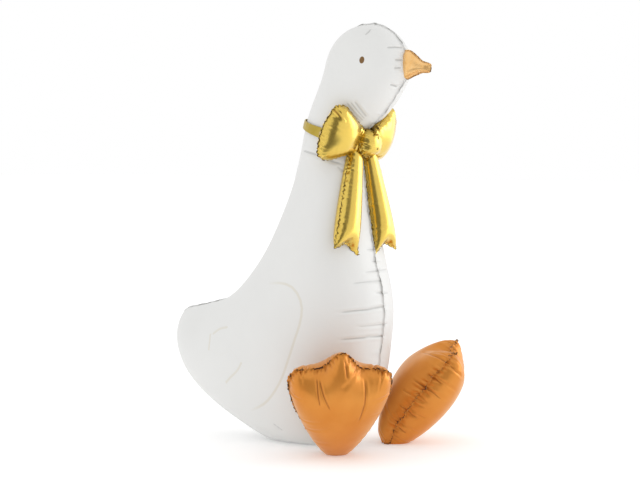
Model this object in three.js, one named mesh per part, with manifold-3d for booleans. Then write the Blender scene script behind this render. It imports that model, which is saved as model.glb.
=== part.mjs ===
// A standing goose made of foil balloons: a white two-panel body with neck and head, a small
// orange beak, two webbed orange feet that prop it up in front, and a gold bow held by a foil
// band round the neck. Millimetres, +Z up. The goose faces -Y and its left side is +X.
// The origin is on the floor, under the middle of the whole goose.
import * as THREE from "three";
import { mergeVertices } from "three/addons/utils/BufferGeometryUtils.js";
import Module from "manifold-3d";

// Whole goose
const bodyHeight = 1158; // floor to crown
const bodyLength = 718; // tail tip to breast
const bodyFullness = 0.9; // half thickness against an evenly inflated outline
const floorPress = 12; // how far the soft base is pressed flat by the floor
const touchGap = 0.3; // between pieces that lean on each other

// Head
const headRadius = 0.1097 * bodyHeight;
const headForward = 0.3036 * bodyLength; // head centre, ahead of the neck foot
const headUp = bodyHeight - headRadius;

// Beak
const beakLength = 71; // from the head to the end of the tab
const beakHeight = 76;
const beakTab = 20; // sealed tab at the tip
const beakRise = 6; // base above the head centre, degrees round the head
const beakDroop = 8; // points down, degrees
const beakRoot = 20; // sunk into the head
const beakFullness = 0.9;

// Feet
const footLength = 366; // heel to middle toe
const footWidth = 270;
const footFullness = 0.94;
const footToeRise = 59; // middle toe above the webs
const rightFootLean = 35; // toes forward of the heel, degrees
const leftFootLean = 38;
const leftFootRoll = 6; // rocked onto its outer side, degrees
const footSplay = 49; // turned out, degrees
const footPress = 2; // pressed onto the body at the least
const rightHeelForward = 0.2440 * bodyLength; // ahead of the neck foot
const leftHeelForward = 0.2850 * bodyLength;
const footHeelApart = 194; // between the two heels

// Bow
const bowForward = 0.299 * bodyLength; // knot centre, ahead of the neck foot
const bowUp = 0.722 * bodyHeight; // knot centre above the floor
const knotSize = 80;
const loopLength = 163; // knot centre to outer edge
const loopHeight = 157;
const loopInnerHeight = 70;
const loopPinch = 0.4; // thickness left behind the knot
const loopPinchReach = 90; // from the knot centre, where a loop is full
const rightLoopSweep = 16; // loops swept back, degrees
const leftLoopSweep = 21;
const loopPitch = 18; // loops lean forward over the throat, degrees
const leftLoopAhead = 30; // pushed forward by the throat
const leftLoopInset = 26; // and in behind the knot
const loopRaise = 13; // loops raised, degrees
const tailLength = 276;
const tailTopWidth = 44;
const tailRoot = 24; // reaches up behind the knot
const tailEndWidth = 96;
const tailNotch = 24;
const tailApart = 63; // between the tops of the tails
const rightTailSplay = 15; // swung out, degrees
const leftTailSplay = 5;
const rightTailSlope = 4; // lies on the breast, degrees
const leftTailSlope = 9;
const tailTurn = 5; // both tails turned to the goose's right, degrees
const loopFullness = 0.78;
const tailFullness = 0.95;
const knotFullness = 1.3;

// Neck band
const bandFrontWidth = 36;
const bandBackWidth = 16;
const bandThickness = 2.4;
const bandSlack = 4; // stands off the nape
const bandTilt = 17; // lower at the front, degrees

// Mesh fineness
const bodyColumns = 16;
const relaxRounds = 900;
const bluntness = 0.43; // 0.5 gives oval sections, less gives blunter edges

const wasm = await Module();
wasm.setup();
const radians = THREE.MathUtils.degToRad;

// A smooth open line through points given as [across, up].
function line(points) {
  const through = points.map(([across, up]) => new THREE.Vector3(across, 0, up));
  return new THREE.CatmullRomCurve3(through, false, "centripetal");
}

// Rows of points between two edges. Each stretch has a right line, a left line and a row count.
// Points crowd towards the seams, where the foil turns fastest.
function rowsBetween(stretches, columns) {
  const rows = [];
  stretches.forEach(({ right, left, count }, index) => {
    for (let i = index ? 1 : 0; i <= count; i++) {
      const a = right.getPointAt(i / count);
      const b = left.getPointAt(i / count);
      const row = [];
      for (let j = 0; j <= columns; j++) {
        row.push(new THREE.Vector3().lerpVectors(a, b, 0.5 - 0.5 * Math.cos((Math.PI * j) / columns)));
      }
      rows.push(row);
    }
  });
  return rows;
}

// The two triangles of a grid cell, split so that no triangle has all its corners on the seam.
function cellTriangles(i, j, rowCount, columnCount, at) {
  const lowHalf = i < rowCount / 2;
  const rightHalf = j < columnCount / 2;
  const [a, b, c, d] = [at(i, j), at(i, j + 1), at(i + 1, j + 1), at(i + 1, j)];
  return lowHalf === rightHalf ? [[a, b, c], [a, c, d]] : [[a, b, d], [b, c, d]];
}

// How far two sheets of foil, sealed along the grid's border, swell apart at each grid point:
// a stretched skin under even pressure, solved by relaxing each point towards its neighbours.
function swell(rows, fullness) {
  const rowCount = rows.length - 1;
  const columnCount = rows[0].length - 1;
  const width = columnCount + 1;
  const points = rows.flat();
  const ties = points.map(() => new Map());
  const area = points.map(() => 0);
  for (let i = 0; i < rowCount; i++) {
    for (let j = 0; j < columnCount; j++) {
      for (const triangle of cellTriangles(i, j, rowCount, columnCount, (r, c) => r * width + c)) {
        for (let k = 0; k < 3; k++) {
          const [p, q, r] = [triangle[k], triangle[(k + 1) % 3], triangle[(k + 2) % 3]];
          const toQ = points[q].clone().sub(points[p]);
          const toR = points[r].clone().sub(points[p]);
          const twiceArea = Math.max(toQ.clone().cross(toR).length(), 1e-6);
          const pull = toQ.dot(toR) / twiceArea / 2;
          ties[q].set(r, (ties[q].get(r) ?? 0) + pull);
          ties[r].set(q, (ties[r].get(q) ?? 0) + pull);
          area[p] += twiceArea / 6;
        }
      }
    }
  }
  const height = points.map(() => 0);
  const overshoot = 1.8;
  for (let round = 0; round < relaxRounds; round++) {
    for (let i = 1; i < rowCount; i++) {
      for (let j = 1; j < columnCount; j++) {
        const p = i * width + j;
        let total = 2 * area[p];
        let weight = 0;
        for (const [q, pull] of ties[p]) {
          total += pull * height[q];
          weight += pull;
        }
        height[p] += overshoot * (total / weight - height[p]);
      }
    }
  }
  const most = Math.max(...height);
  return height.map((h) => fullness * Math.sqrt(most) * Math.pow(Math.max(h, 0) / most, bluntness));
}

// A closed balloon from a grid of rows in the XZ plane, swelling both ways along Y.
function balloon(rows, fullness) {
  const rowCount = rows.length - 1;
  const columnCount = rows[0].length - 1;
  const swollen = swell(rows, fullness);
  const positions = [];
  for (const side of [-1, 1]) {
    rows.flat().forEach((p, n) => positions.push(p.x, side * swollen[n], p.z));
  }
  const width = columnCount + 1;
  const sheet = rows.length * width;
  const onSeam = (n) => {
    const [i, j] = [Math.floor(n / width), n % width];
    return i === 0 || j === 0 || i === rowCount || j === columnCount;
  };
  const index = [];
  for (let i = 0; i < rowCount; i++) {
    for (let j = 0; j < columnCount; j++) {
      for (const [a, b, c] of cellTriangles(i, j, rowCount, columnCount, (r, k) => r * width + k)) {
        index.push(a, c, b);
        index.push(...[a, b, c].map((n) => (onSeam(n) ? n : n + sheet)));
      }
    }
  }
  const geometry = new THREE.BufferGeometry();
  geometry.setAttribute("position", new THREE.Float32BufferAttribute(positions, 3));
  geometry.setIndex(index);
  return geometry;
}

// A pad with mirrored sides: half widths up its length, and a far edge that rises or dips.
function pad(sides, crest, fullness, rows, columns) {
  const right = line(sides);
  const left = line(sides.map(([across, up]) => [-across, up]));
  const grid = rowsBetween([{ right, left, count: rows }], columns);
  grid.forEach((row, i) => {
    const share = Math.pow(i / rows, 2.5);
    row.forEach((p) => (p.z += share * crest(p.x)));
  });
  return balloon(grid, fullness);
}

function solid(geometry, matrix = new THREE.Matrix4()) {
  const plain = new THREE.BufferGeometry();
  plain.setAttribute("position", geometry.getAttribute("position").clone());
  if (geometry.index) plain.setIndex(geometry.index.clone());
  const merged = mergeVertices(plain.applyMatrix4(matrix), 1e-3);
  const triVerts = new Uint32Array(merged.index.array);
  const vertProperties = merged.attributes.position.array;
  return new wasm.Manifold(new wasm.Mesh({ numProp: 3, vertProperties, triVerts }));
}

function geometryOf(made) {
  const { vertProperties, triVerts, numProp } = made.getMesh();
  const positions = new Float32Array((vertProperties.length / numProp) * 3);
  for (let n = 0; n < positions.length / 3; n++) {
    for (let k = 0; k < 3; k++) positions[3 * n + k] = vertProperties[numProp * n + k];
  }
  const geometry = new THREE.BufferGeometry();
  geometry.setAttribute("position", new THREE.BufferAttribute(positions, 3));
  geometry.setIndex([...triVerts]);
  geometry.computeVertexNormals();
  return geometry;
}

// The same solid with every point moved out along its normal, to cut a clearance with.
function grown(made, by, shift = new THREE.Vector3()) {
  const geometry = geometryOf(made);
  const { position, normal } = geometry.attributes;
  for (let n = 0; n < position.count; n++) {
    const p = new THREE.Vector3().fromBufferAttribute(position, n);
    p.addScaledVector(new THREE.Vector3().fromBufferAttribute(normal, n), by).add(shift);
    position.setXYZ(n, p.x, p.y, p.z);
  }
  return solid(geometry);
}

// Everything below the floor, as one slab.
function floorSlab() {
  const slab = new THREE.BoxGeometry(4 * bodyLength, 4 * bodyLength, bodyHeight);
  return solid(slab, new THREE.Matrix4().makeTranslation(0, 0, -bodyHeight / 2));
}

// Body, neck and head: one envelope of two white foil panels, sealed along the profile.
const ahead = (share) => share * bodyLength;
const up = (share) => share * bodyHeight;
const onHead = (degrees, radius = headRadius) => [
  headForward + radius * Math.cos(radians(degrees)),
  headUp + radius * Math.sin(radians(degrees)),
];
const breast = [ahead(0.375), up(0.315)];
const throat = [ahead(0.306), up(0.758)];
const nape = [ahead(0.038), up(0.767)];
const tailTip = [ahead(-0.625), up(0.299)];

function bodyGeometry() {
  const breastFront = line([[ahead(0.1), -floorPress], [ahead(0.209), up(0.021)],
    [ahead(0.29), up(0.082)], [ahead(0.34), up(0.164)], [ahead(0.359), up(0.242)], breast]);
  const rump = line([[ahead(-0.11), -floorPress], [ahead(-0.212), up(0.019)],
    [ahead(-0.393), up(0.071)], [ahead(-0.486), up(0.107)], [ahead(-0.558), up(0.145)],
    [ahead(-0.602), up(0.185)], [ahead(-0.625), up(0.223)], [ahead(-0.628), up(0.263)], tailTip]);
  const neckFront = line([breast, [ahead(0.365), up(0.371)], [ahead(0.333), up(0.445)],
    [ahead(0.309), up(0.518)], [ahead(0.29), up(0.587)], [ahead(0.279), up(0.648)],
    [ahead(0.26), up(0.717)], [ahead(0.27), up(0.741)], throat]);
  const back = line([tailTip, [ahead(-0.474), up(0.32)], [ahead(-0.343), up(0.342)],
    [ahead(-0.253), up(0.38)], [ahead(-0.187), up(0.422)], [ahead(-0.132), up(0.464)],
    [ahead(-0.068), up(0.541)], [ahead(-0.014), up(0.62)], [ahead(0.018), up(0.7)], nape]);
  const chin = line([throat, [ahead(0.351), up(0.781)], [ahead(0.4), up(0.812)],
    [ahead(0.428), up(0.834)], [ahead(0.443), up(0.852)], onHead(-8)]);
  const backLow = line([nape, [ahead(0.068), up(0.815)], [ahead(0.102), up(0.855)], onHead(180)]);
  const face = line([onHead(-8), onHead(8), onHead(25), onHead(45), onHead(65), onHead(82)]);
  const backHigh = line([onHead(180), onHead(160), onHead(140), onHead(120), onHead(100)]);
  const rows = rowsBetween(
    [
      { right: breastFront, left: rump, count: 14 },
      { right: neckFront, left: back, count: 20 },
      { right: chin, left: backLow, count: 8 },
      { right: face, left: backHigh, count: 12 },
    ],
    bodyColumns,
  );
  return balloon(rows, bodyFullness);
}

// Turns a piece drawn facing sideways so that its forward side is -Y.
const faceFront = new THREE.Matrix4().makeRotationZ(-Math.PI / 2);
const floor = floorSlab();
const body = solid(bodyGeometry(), faceFront).subtract(floor);
const bodyClear = grown(body, touchGap);

// Beak: a small orange pad with a tab at its tip, stuck on the seam of the face.
function beak() {
  const half = beakHeight / 2;
  const cone = beakLength - beakTab;
  const sides = [
    [0.9 * half, -beakRoot],
    [half, 0],
    [0.66 * half, 0.5 * cone],
    [0.33 * half, 0.94 * cone],
    [0.32 * half, cone + 0.4 * beakTab],
    [0.24 * half, beakLength],
  ];
  const tipRound = (across) => 0.1 * beakTab * (1 - Math.pow(across / (0.3 * half), 2));
  const [forward, height] = onHead(beakRise);
  const place = new THREE.Matrix4()
    .makeTranslation(0, -forward, height)
    .multiply(new THREE.Matrix4().makeRotationX(radians(90 + beakDroop)))
    .multiply(new THREE.Matrix4().makeRotationZ(Math.PI / 2));
  return solid(pad(sides, tipRound, beakFullness, 10, 8), place).subtract(bodyClear);
}

// Feet: flat-sealed orange pads with a heel, two side toes and a middle toe.
function footGeometry() {
  const half = footWidth / 2;
  const shoulder = footLength - footToeRise;
  const sides = [
    [0.11 * half, 0],
    [0.31 * half, 0.1 * shoulder],
    [0.55 * half, 0.28 * shoulder],
    [0.75 * half, 0.47 * shoulder],
    [0.94 * half, 0.7 * shoulder],
    [half, 0.86 * shoulder],
    [0.97 * half, 0.94 * shoulder],
    [0.88 * half, 0.988 * shoulder],
    [0.78 * half, shoulder],
  ];
  const toeHalf = 0.42 * half;
  const crest = (across) => {
    const share = Math.abs(across) / toeHalf;
    return share < 1 ? footToeRise * (0.5 + 0.5 * Math.cos(Math.PI * share)) : 0;
  };
  return pad(sides, crest, footFullness, 14, 18);
}

// Slides a raised foot back until it leans on the body.
function leant(made) {
  let leaning = made;
  let gap = leaning.minGap(body, footLength);
  while (gap > 0) {
    leaning = leaning.translate([0, gap + footPress, 0]);
    gap = leaning.minGap(body, footLength);
  }
  return leaning;
}

function foot(side) {
  const heelForward = side < 0 ? rightHeelForward : leftHeelForward;
  const [lean, roll] = side < 0 ? [rightFootLean, 0] : [leftFootLean, leftFootRoll];
  const place = new THREE.Matrix4()
    .makeTranslation((side * footHeelApart) / 2, -heelForward, 0)
    .multiply(new THREE.Matrix4().makeRotationZ(side * radians(footSplay)))
    .multiply(new THREE.Matrix4().makeRotationX(radians(lean)))
    .multiply(new THREE.Matrix4().makeRotationY(radians(roll)));
  const drawn = solid(footGeometry(), place);
  const lowest = drawn.boundingBox().min[2];
  return leant(drawn.translate([0, 0, -lowest - floorPress])).subtract(floor).subtract(bodyClear);
}

// Bow: two loops, a knot and two forked tails, one gold foil envelope.
function loopGeometry() {
  const inner = loopInnerHeight / 2;
  const outer = loopHeight / 2;
  const sides = [
    [0.8 * inner, 0.1 * loopLength],
    [inner, 0.2 * loopLength],
    [0.7 * outer, 0.44 * loopLength],
    [0.94 * outer, 0.64 * loopLength],
    [outer, 0.77 * loopLength],
    [0.88 * outer, 0.88 * loopLength],
  ];
  const crest = (across) => 0.12 * loopLength * (1 - Math.pow(across / outer, 2));
  const loop = pad(sides, crest, loopFullness, 10, 10);
  const { position } = loop.attributes;
  for (let n = 0; n < position.count; n++) {
    const full = THREE.MathUtils.smoothstep(position.getZ(n), 0.1 * loopLength, loopPinchReach);
    position.setY(n, position.getY(n) * THREE.MathUtils.lerp(loopPinch, 1, full));
  }
  return loop;
}

function knotGeometry() {
  const half = knotSize / 2;
  const sides = [
    [0.52 * half, -0.92 * half],
    [0.94 * half, -0.5 * half],
    [1.03 * half, 0],
    [0.9 * half, 0.5 * half],
    [0.52 * half, 0.86 * half],
  ];
  const crest = (across) => 0.12 * half * (1 - Math.pow(across / half, 2));
  return pad(sides, crest, knotFullness, 8, 8);
}

function tailGeometry() {
  const [top, end] = [tailTopWidth / 2, tailEndWidth / 2];
  const sides = [
    [0.8 * top, -tailRoot],
    [top, 0],
    [0.42 * end + 0.58 * top, 0.45 * tailLength],
    [0.85 * end, 0.82 * tailLength],
    [end, 0.99 * tailLength],
  ];
  const crest = (across) => -tailNotch * (1 - Math.min(1, Math.pow(Math.abs(across) / (0.75 * end), 1.4)));
  return pad(sides, crest, tailFullness, 11, 8);
}

// A frame whose Z runs along `along` and whose Y is as near to `face` as it can be.
function frameAlong(along, face) {
  const z = along.clone().normalize();
  const x = face.clone().cross(z).normalize();
  const y = z.clone().cross(x);
  return new THREE.Matrix4().makeBasis(x, y, z);
}

const bowCentre = new THREE.Vector3(0, -bowForward, bowUp);

function loopPlace(side) {
  const sweep = radians(side < 0 ? rightLoopSweep : leftLoopSweep);
  const [raise, pitch] = [radians(loopRaise), radians(loopPitch)];
  const along = new THREE.Vector3(
    side * Math.cos(sweep) * Math.cos(raise),
    Math.sin(sweep) * Math.cos(raise),
    Math.sin(raise),
  );
  const face = new THREE.Vector3(-side * Math.sin(sweep), Math.cos(sweep), Math.tan(pitch));
  const pushed = side < 0 ? new THREE.Vector3() : new THREE.Vector3(-leftLoopInset, -leftLoopAhead, 0);
  return new THREE.Matrix4().setPosition(pushed.add(bowCentre)).multiply(frameAlong(along, face));
}

function tailPlace(side) {
  const splay = radians(side < 0 ? rightTailSplay : leftTailSplay);
  const slope = radians(side < 0 ? rightTailSlope : leftTailSlope);
  const turn = radians(tailTurn);
  const along = new THREE.Vector3(side * Math.sin(splay), -Math.sin(slope), -Math.cos(splay));
  const face = new THREE.Vector3(Math.sin(turn), Math.cos(turn), 0);
  const start = bowCentre.clone();
  start.x += (side * tailApart) / 2;
  start.z -= 0.34 * knotSize;
  start.y += 0.28 * knotSize;
  return new THREE.Matrix4().setPosition(start).multiply(frameAlong(along, face));
}

function knotPlace() {
  return new THREE.Matrix4().setPosition(bowCentre);
}

// Neck band: a slice of the neck's own surface, grown by the band's thickness. The slack shifts
// it back, so that it touches the neck in front and stands off the nape.
const slack = new THREE.Vector3(0, bandSlack / 2, 0);

function neckSlice(grownBy, margin = 0) {
  const reach = 2 * headRadius;
  const wedge = new THREE.Shape();
  wedge.moveTo(0, -bandFrontWidth / 2 - margin);
  wedge.lineTo(reach, -bandBackWidth / 2 - margin);
  wedge.lineTo(reach, bandBackWidth / 2 + margin);
  wedge.lineTo(0, bandFrontWidth / 2 + margin);
  const slice = new THREE.ExtrudeGeometry(wedge, { depth: 2 * reach, bevelEnabled: false });
  const place = new THREE.Matrix4()
    .setPosition(bowCentre)
    .multiply(new THREE.Matrix4().makeRotationX(radians(bandTilt)))
    .multiply(new THREE.Matrix4().makeTranslation(-reach, 0, 0))
    .multiply(new THREE.Matrix4().makeBasis(
      new THREE.Vector3(0, 1, 0), new THREE.Vector3(0, 0, 1), new THREE.Vector3(1, 0, 0)));
  return grown(body, grownBy + margin, slack).intersect(solid(slice, place));
}

const bandInside = touchGap + bandSlack / 2;
const bandOutside = bandInside + bandThickness;

function neckBand() {
  return neckSlice(bandOutside).subtract(grown(body, bandInside, slack)).subtract(bodyClear);
}

function bow() {
  let made = solid(knotGeometry(), knotPlace());
  for (const side of [-1, 1]) {
    made = made.add(solid(loopGeometry(), loopPlace(side)));
    made = made.add(solid(tailGeometry(), tailPlace(side)));
  }
  return made.subtract(bodyClear).subtract(neckSlice(bandOutside, touchGap));
}

// Materials
const whiteFoil = new THREE.MeshStandardMaterial({ color: 0xe8e8e6, roughness: 0.45, metalness: 0.0 });
const orangeFoil = new THREE.MeshStandardMaterial({ color: 0xd8822e, roughness: 0.4, metalness: 0.35 });
const goldFoil = new THREE.MeshStandardMaterial({ color: 0xd8b64a, roughness: 0.22, metalness: 1.0 });

const goose = new THREE.Group();
function place(name, made, material) {
  const mesh = new THREE.Mesh(geometryOf(made), material);
  mesh.name = name;
  goose.add(mesh);
}

place("body", body, whiteFoil);
place("beak", beak(), orangeFoil);
place("right_foot", foot(-1), orangeFoil);
place("left_foot", foot(1), orangeFoil);
place("bow", bow(), goldFoil);
place("neck_band", neckBand(), goldFoil);

// Sets the origin under the middle of the whole goose.
goose.updateMatrixWorld(true);
const middle = new THREE.Box3().setFromObject(goose, true).getCenter(new THREE.Vector3());
goose.position.set(-middle.x, -middle.y, 0);

export default goose;
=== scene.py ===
import math

import bmesh
import bpy
import numpy as np
from mathutils import Matrix, Vector
from mathutils.bvhtree import BVHTree
from mathutils.kdtree import KDTree


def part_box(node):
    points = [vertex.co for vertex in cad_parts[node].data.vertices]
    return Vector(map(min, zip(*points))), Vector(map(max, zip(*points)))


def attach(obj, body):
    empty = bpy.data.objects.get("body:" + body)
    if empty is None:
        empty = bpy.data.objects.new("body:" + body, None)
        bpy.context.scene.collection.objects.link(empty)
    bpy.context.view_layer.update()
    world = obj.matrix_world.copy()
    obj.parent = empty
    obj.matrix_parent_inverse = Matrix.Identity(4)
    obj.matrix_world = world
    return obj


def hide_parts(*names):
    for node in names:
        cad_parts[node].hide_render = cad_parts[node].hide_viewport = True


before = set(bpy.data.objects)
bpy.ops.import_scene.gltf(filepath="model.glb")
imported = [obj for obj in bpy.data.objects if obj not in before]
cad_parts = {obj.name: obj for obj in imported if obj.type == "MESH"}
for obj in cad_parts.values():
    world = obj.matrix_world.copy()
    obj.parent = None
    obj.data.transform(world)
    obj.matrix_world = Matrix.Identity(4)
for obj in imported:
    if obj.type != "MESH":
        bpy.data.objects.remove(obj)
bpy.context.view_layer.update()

scene = bpy.context.scene

# Body, neck and head. The real one is a single white envelope: two printed foil panels cut to
# the goose's profile, heat sealed along its middle plane and filled with air. The seal leaves a
# narrow flat edge, and the foil puckers where the profile curves.
BODY_HEIGHT = 1.158
BODY_LENGTH = 0.718
BODY_FULLNESS = 0.9
FLOOR_PRESS = 0.012
HEAD_RADIUS = 0.127
HEAD_FORWARD = 0.218
BLUNTNESS = 0.43
SEAL_WIDTH = 0.004
SEAL_THICKNESS = 0.0007
SUBDIVISIONS = 3
TOUCHING = 1e-6


def curve(points, count):
    """count + 1 points at even steps along a smooth line through points given as (across, up)."""
    p = np.array(points, float)
    p = np.vstack([2 * p[0] - p[1], p, 2 * p[-1] - p[-2]])
    gap = np.linalg.norm(np.diff(p, axis=0), axis=1) ** 0.5
    t = np.linspace(0, 1, 40, endpoint=False)[:, None]
    fine = []
    for k in range(1, len(p) - 2):
        a, b, c = gap[k - 1], gap[k], gap[k + 1]
        chord = p[k + 1] - p[k]
        start = ((p[k] - p[k - 1]) / a - (p[k + 1] - p[k - 1]) / (a + b) + chord / b) * b
        end = (chord / b - (p[k + 2] - p[k]) / (b + c) + (p[k + 2] - p[k + 1]) / c) * b
        fine.append(p[k] + start * t + (3 * chord - 2 * start - end) * t**2
                    + (start + end - 2 * chord) * t**3)
    fine = np.vstack(fine + [p[-2][None]])
    run = np.r_[0, np.cumsum(np.linalg.norm(np.diff(fine, axis=0), axis=1))]
    at = np.linspace(0, run[-1], count + 1)
    return np.column_stack([np.interp(at, run, fine[:, 0]), np.interp(at, run, fine[:, 1])])


def rows_between(right, left, columns):
    """A grid of points between two edge lines, crowded towards the edges."""
    share = (0.5 - 0.5 * np.cos(np.pi * np.arange(columns + 1) / columns))[None, :, None]
    return right[:, None, :] * (1 - share) + left[:, None, :] * share


def swell(rows, fullness):
    """How far two sheets sealed round the grid's border are blown apart at each of its points."""
    r, c = rows.shape[0], rows.shape[1]
    points = rows.reshape(-1, 2)
    number = np.arange(r * c).reshape(r, c)
    corner = [number[:-1, :-1], number[:-1, 1:], number[1:, 1:], number[1:, :-1]]
    stiff = np.zeros((r * c, r * c))
    load = np.zeros(r * c)
    for split in ([0, 1, 2], [0, 2, 3], [0, 1, 3], [1, 2, 3]):
        tri = np.stack([corner[k].ravel() for k in split])
        for k in range(3):
            p, q, s = tri[k], tri[(k + 1) % 3], tri[(k + 2) % 3]
            u, v = points[q] - points[p], points[s] - points[p]
            area = np.maximum(np.abs(u[:, 0] * v[:, 1] - u[:, 1] * v[:, 0]), 1e-12)
            pull = (u * v).sum(1) / area / 4
            np.add.at(stiff, (q, s), -pull)
            np.add.at(stiff, (s, q), -pull)
            np.add.at(stiff, (q, q), pull)
            np.add.at(stiff, (s, s), pull)
            np.add.at(load, p, area / 6)
    inner = number[1:-1, 1:-1].ravel()
    height = np.zeros(r * c)
    height[inner] = np.linalg.solve(stiff[np.ix_(inner, inner)], load[inner])
    most = height.max()
    blown = fullness * np.sqrt(most) * (np.maximum(height, 0) / most) ** BLUNTNESS
    return blown.reshape(r, c)


def envelope(rows, fullness):
    """A sealed envelope drawn in the XZ plane and blown up along Y, as a fine mesh."""
    r, c = rows.shape[0] - 1, rows.shape[1] - 1
    half = swell(rows, fullness)
    bm = bmesh.new()
    bmesh.ops.create_grid(bm, x_segments=c, y_segments=r, size=0.5)
    for v in bm.verts:
        i, j = round((v.co.y + 0.5) * r), round((v.co.x + 0.5) * c)
        v.co = (rows[i, j, 0], -half[i, j], rows[i, j, 1])
    twin = bmesh.ops.duplicate(bm, geom=bm.verts[:] + bm.edges[:] + bm.faces[:])["geom"]
    bmesh.ops.scale(bm, vec=(1, -1, 1), verts=[g for g in twin if isinstance(g, bmesh.types.BMVert)])
    bmesh.ops.remove_doubles(bm, verts=bm.verts, dist=TOUCHING)
    bmesh.ops.recalc_face_normals(bm, faces=bm.faces)
    crease = bm.edges.layers.float.new("crease_edge")
    for e in bm.edges:
        if all(abs(v.co.y) < TOUCHING for v in e.verts):
            e[crease] = 1.0
    mesh = bpy.data.meshes.new("envelope")
    bm.to_mesh(mesh)
    bm.free()
    holder = bpy.data.objects.new("envelope", mesh)
    scene.collection.objects.link(holder)
    smooth = holder.modifiers.new("smooth", "SUBSURF")
    smooth.levels = smooth.render_levels = SUBDIVISIONS
    fine = bpy.data.meshes.new_from_object(holder.evaluated_get(bpy.context.evaluated_depsgraph_get()))
    bpy.data.objects.remove(holder)
    bpy.data.meshes.remove(mesh)
    return fine


def places(mesh):
    flat = np.empty(3 * len(mesh.vertices))
    mesh.vertices.foreach_get("co", flat)
    return flat.reshape(-1, 3)


def normals(mesh):
    flat = np.empty(3 * len(mesh.vertices))
    mesh.vertices.foreach_get("normal", flat)
    return flat.reshape(-1, 3)


def put(mesh, points):
    mesh.vertices.foreach_set("co", points.astype(np.float32).ravel())
    mesh.update()


class Seam:
    """The sealed edge of an envelope as a line: where along it and how far from it a point is."""

    def __init__(self, mesh):
        points = places(mesh)
        on = np.abs(points[:, 1]) < TOUCHING
        follow = {}
        for e in mesh.edges:
            a, b = e.vertices
            if on[a] and on[b]:
                follow.setdefault(a, []).append(b)
                follow.setdefault(b, []).append(a)
        order = [min(follow)]
        last = None
        while True:
            ahead = [n for n in follow[order[-1]] if n != last]
            last = order[-1]
            if ahead[0] == order[0] or len(order) > len(follow):
                break
            order.append(ahead[0])
        self.order = np.array(order)
        self.line = points[self.order]
        self.step = np.roll(self.line, -1, axis=0) - self.line
        self.length_of = np.linalg.norm(self.step, axis=1)
        self.run = np.r_[0, np.cumsum(self.length_of)[:-1]]
        self.length = self.length_of.sum()
        self.tree = KDTree(len(self.line))
        for n, p in enumerate(self.line):
            self.tree.insert(p, n)
        self.tree.balance()

    def measure(self, points):
        """For each point the run along the seam, the distance from it, and the way into the sheet."""
        near = np.array([self.tree.find(p)[1] for p in points])
        count = len(self.line)
        best = np.full(len(points), np.inf)
        along = np.zeros(len(points))
        inward = np.zeros((len(points), 3))
        for first in (near, (near - 1) % count):
            length = self.length_of[first]
            share = ((points - self.line[first]) * self.step[first]).sum(1) / np.maximum(length, 1e-9) ** 2
            share = np.clip(share, 0, 1)
            gap = np.linalg.norm(points - self.line[first] - share[:, None] * self.step[first], axis=1)
            closer = gap < best
            best = np.where(closer, gap, best)
            along = np.where(closer, self.run[first] + share * length, along)
            way = np.cross(self.step[first], (0, 1, 0)) / np.maximum(length, 1e-9)[:, None]
            inward = np.where(closer[:, None], way, inward)
        centre = self.line.mean(axis=0)
        turn = np.sign((np.cross(self.step, (0, 1, 0)) * (centre - self.line)).sum())
        return along, best, inward * turn


def puckers(rng, length, spacing, reach, depth, width, slant=0.25):
    """Creases that run into a sheet from its seam at uneven steps.

    Each row is the place along the seam, slant, reach into the sheet, depth and width of one crease.
    """
    at = [rng.uniform(0, spacing)]
    while at[-1] < length - 0.6 * spacing:
        at.append(at[-1] + spacing * rng.uniform(0.55, 1.5))
    n = len(at)
    return np.column_stack([
        at, rng.uniform(-slant, slant, n), reach * rng.uniform(0.35, 1.35, n),
        depth * rng.uniform(0.4, 1.3, n), width * rng.uniform(0.75, 1.35, n)])


def valley(off):
    """The section of a crease in tight foil: a sharp valley with a low swell beside it."""
    return np.exp(-(off**1.3)) - 0.3 * np.exp(-((off - 2.4) ** 2))


def press(along, apart, length, creases):
    """How deep the creases press the sheet in at each point."""
    deep = np.zeros(len(along))
    for at, slant, reach, depth, width in creases:
        near = apart < reach
        across = along[near] - at - slant * apart[near]
        across = np.abs((across + length / 2) % length - length / 2)
        share = apart[near] / reach
        wide = width * (0.45 + 1.1 * share)
        deep[near] += depth * (1 - share) ** 1.3 * valley(across / wide)
    return deep


def remember(mesh, deep):
    """Keeps how deeply each point is folded in, in millimetres, for the painted shade that darkens the foil
    in its creases.
    """
    kept = mesh.attributes.get("painted crease shade") or mesh.attributes.new("painted crease shade", "FLOAT", "POINT")
    old = np.empty(len(mesh.vertices), np.float32)
    kept.data.foreach_get("value", old)
    kept.data.foreach_set("value", np.maximum(old, 1000 * deep).astype(np.float32))


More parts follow.
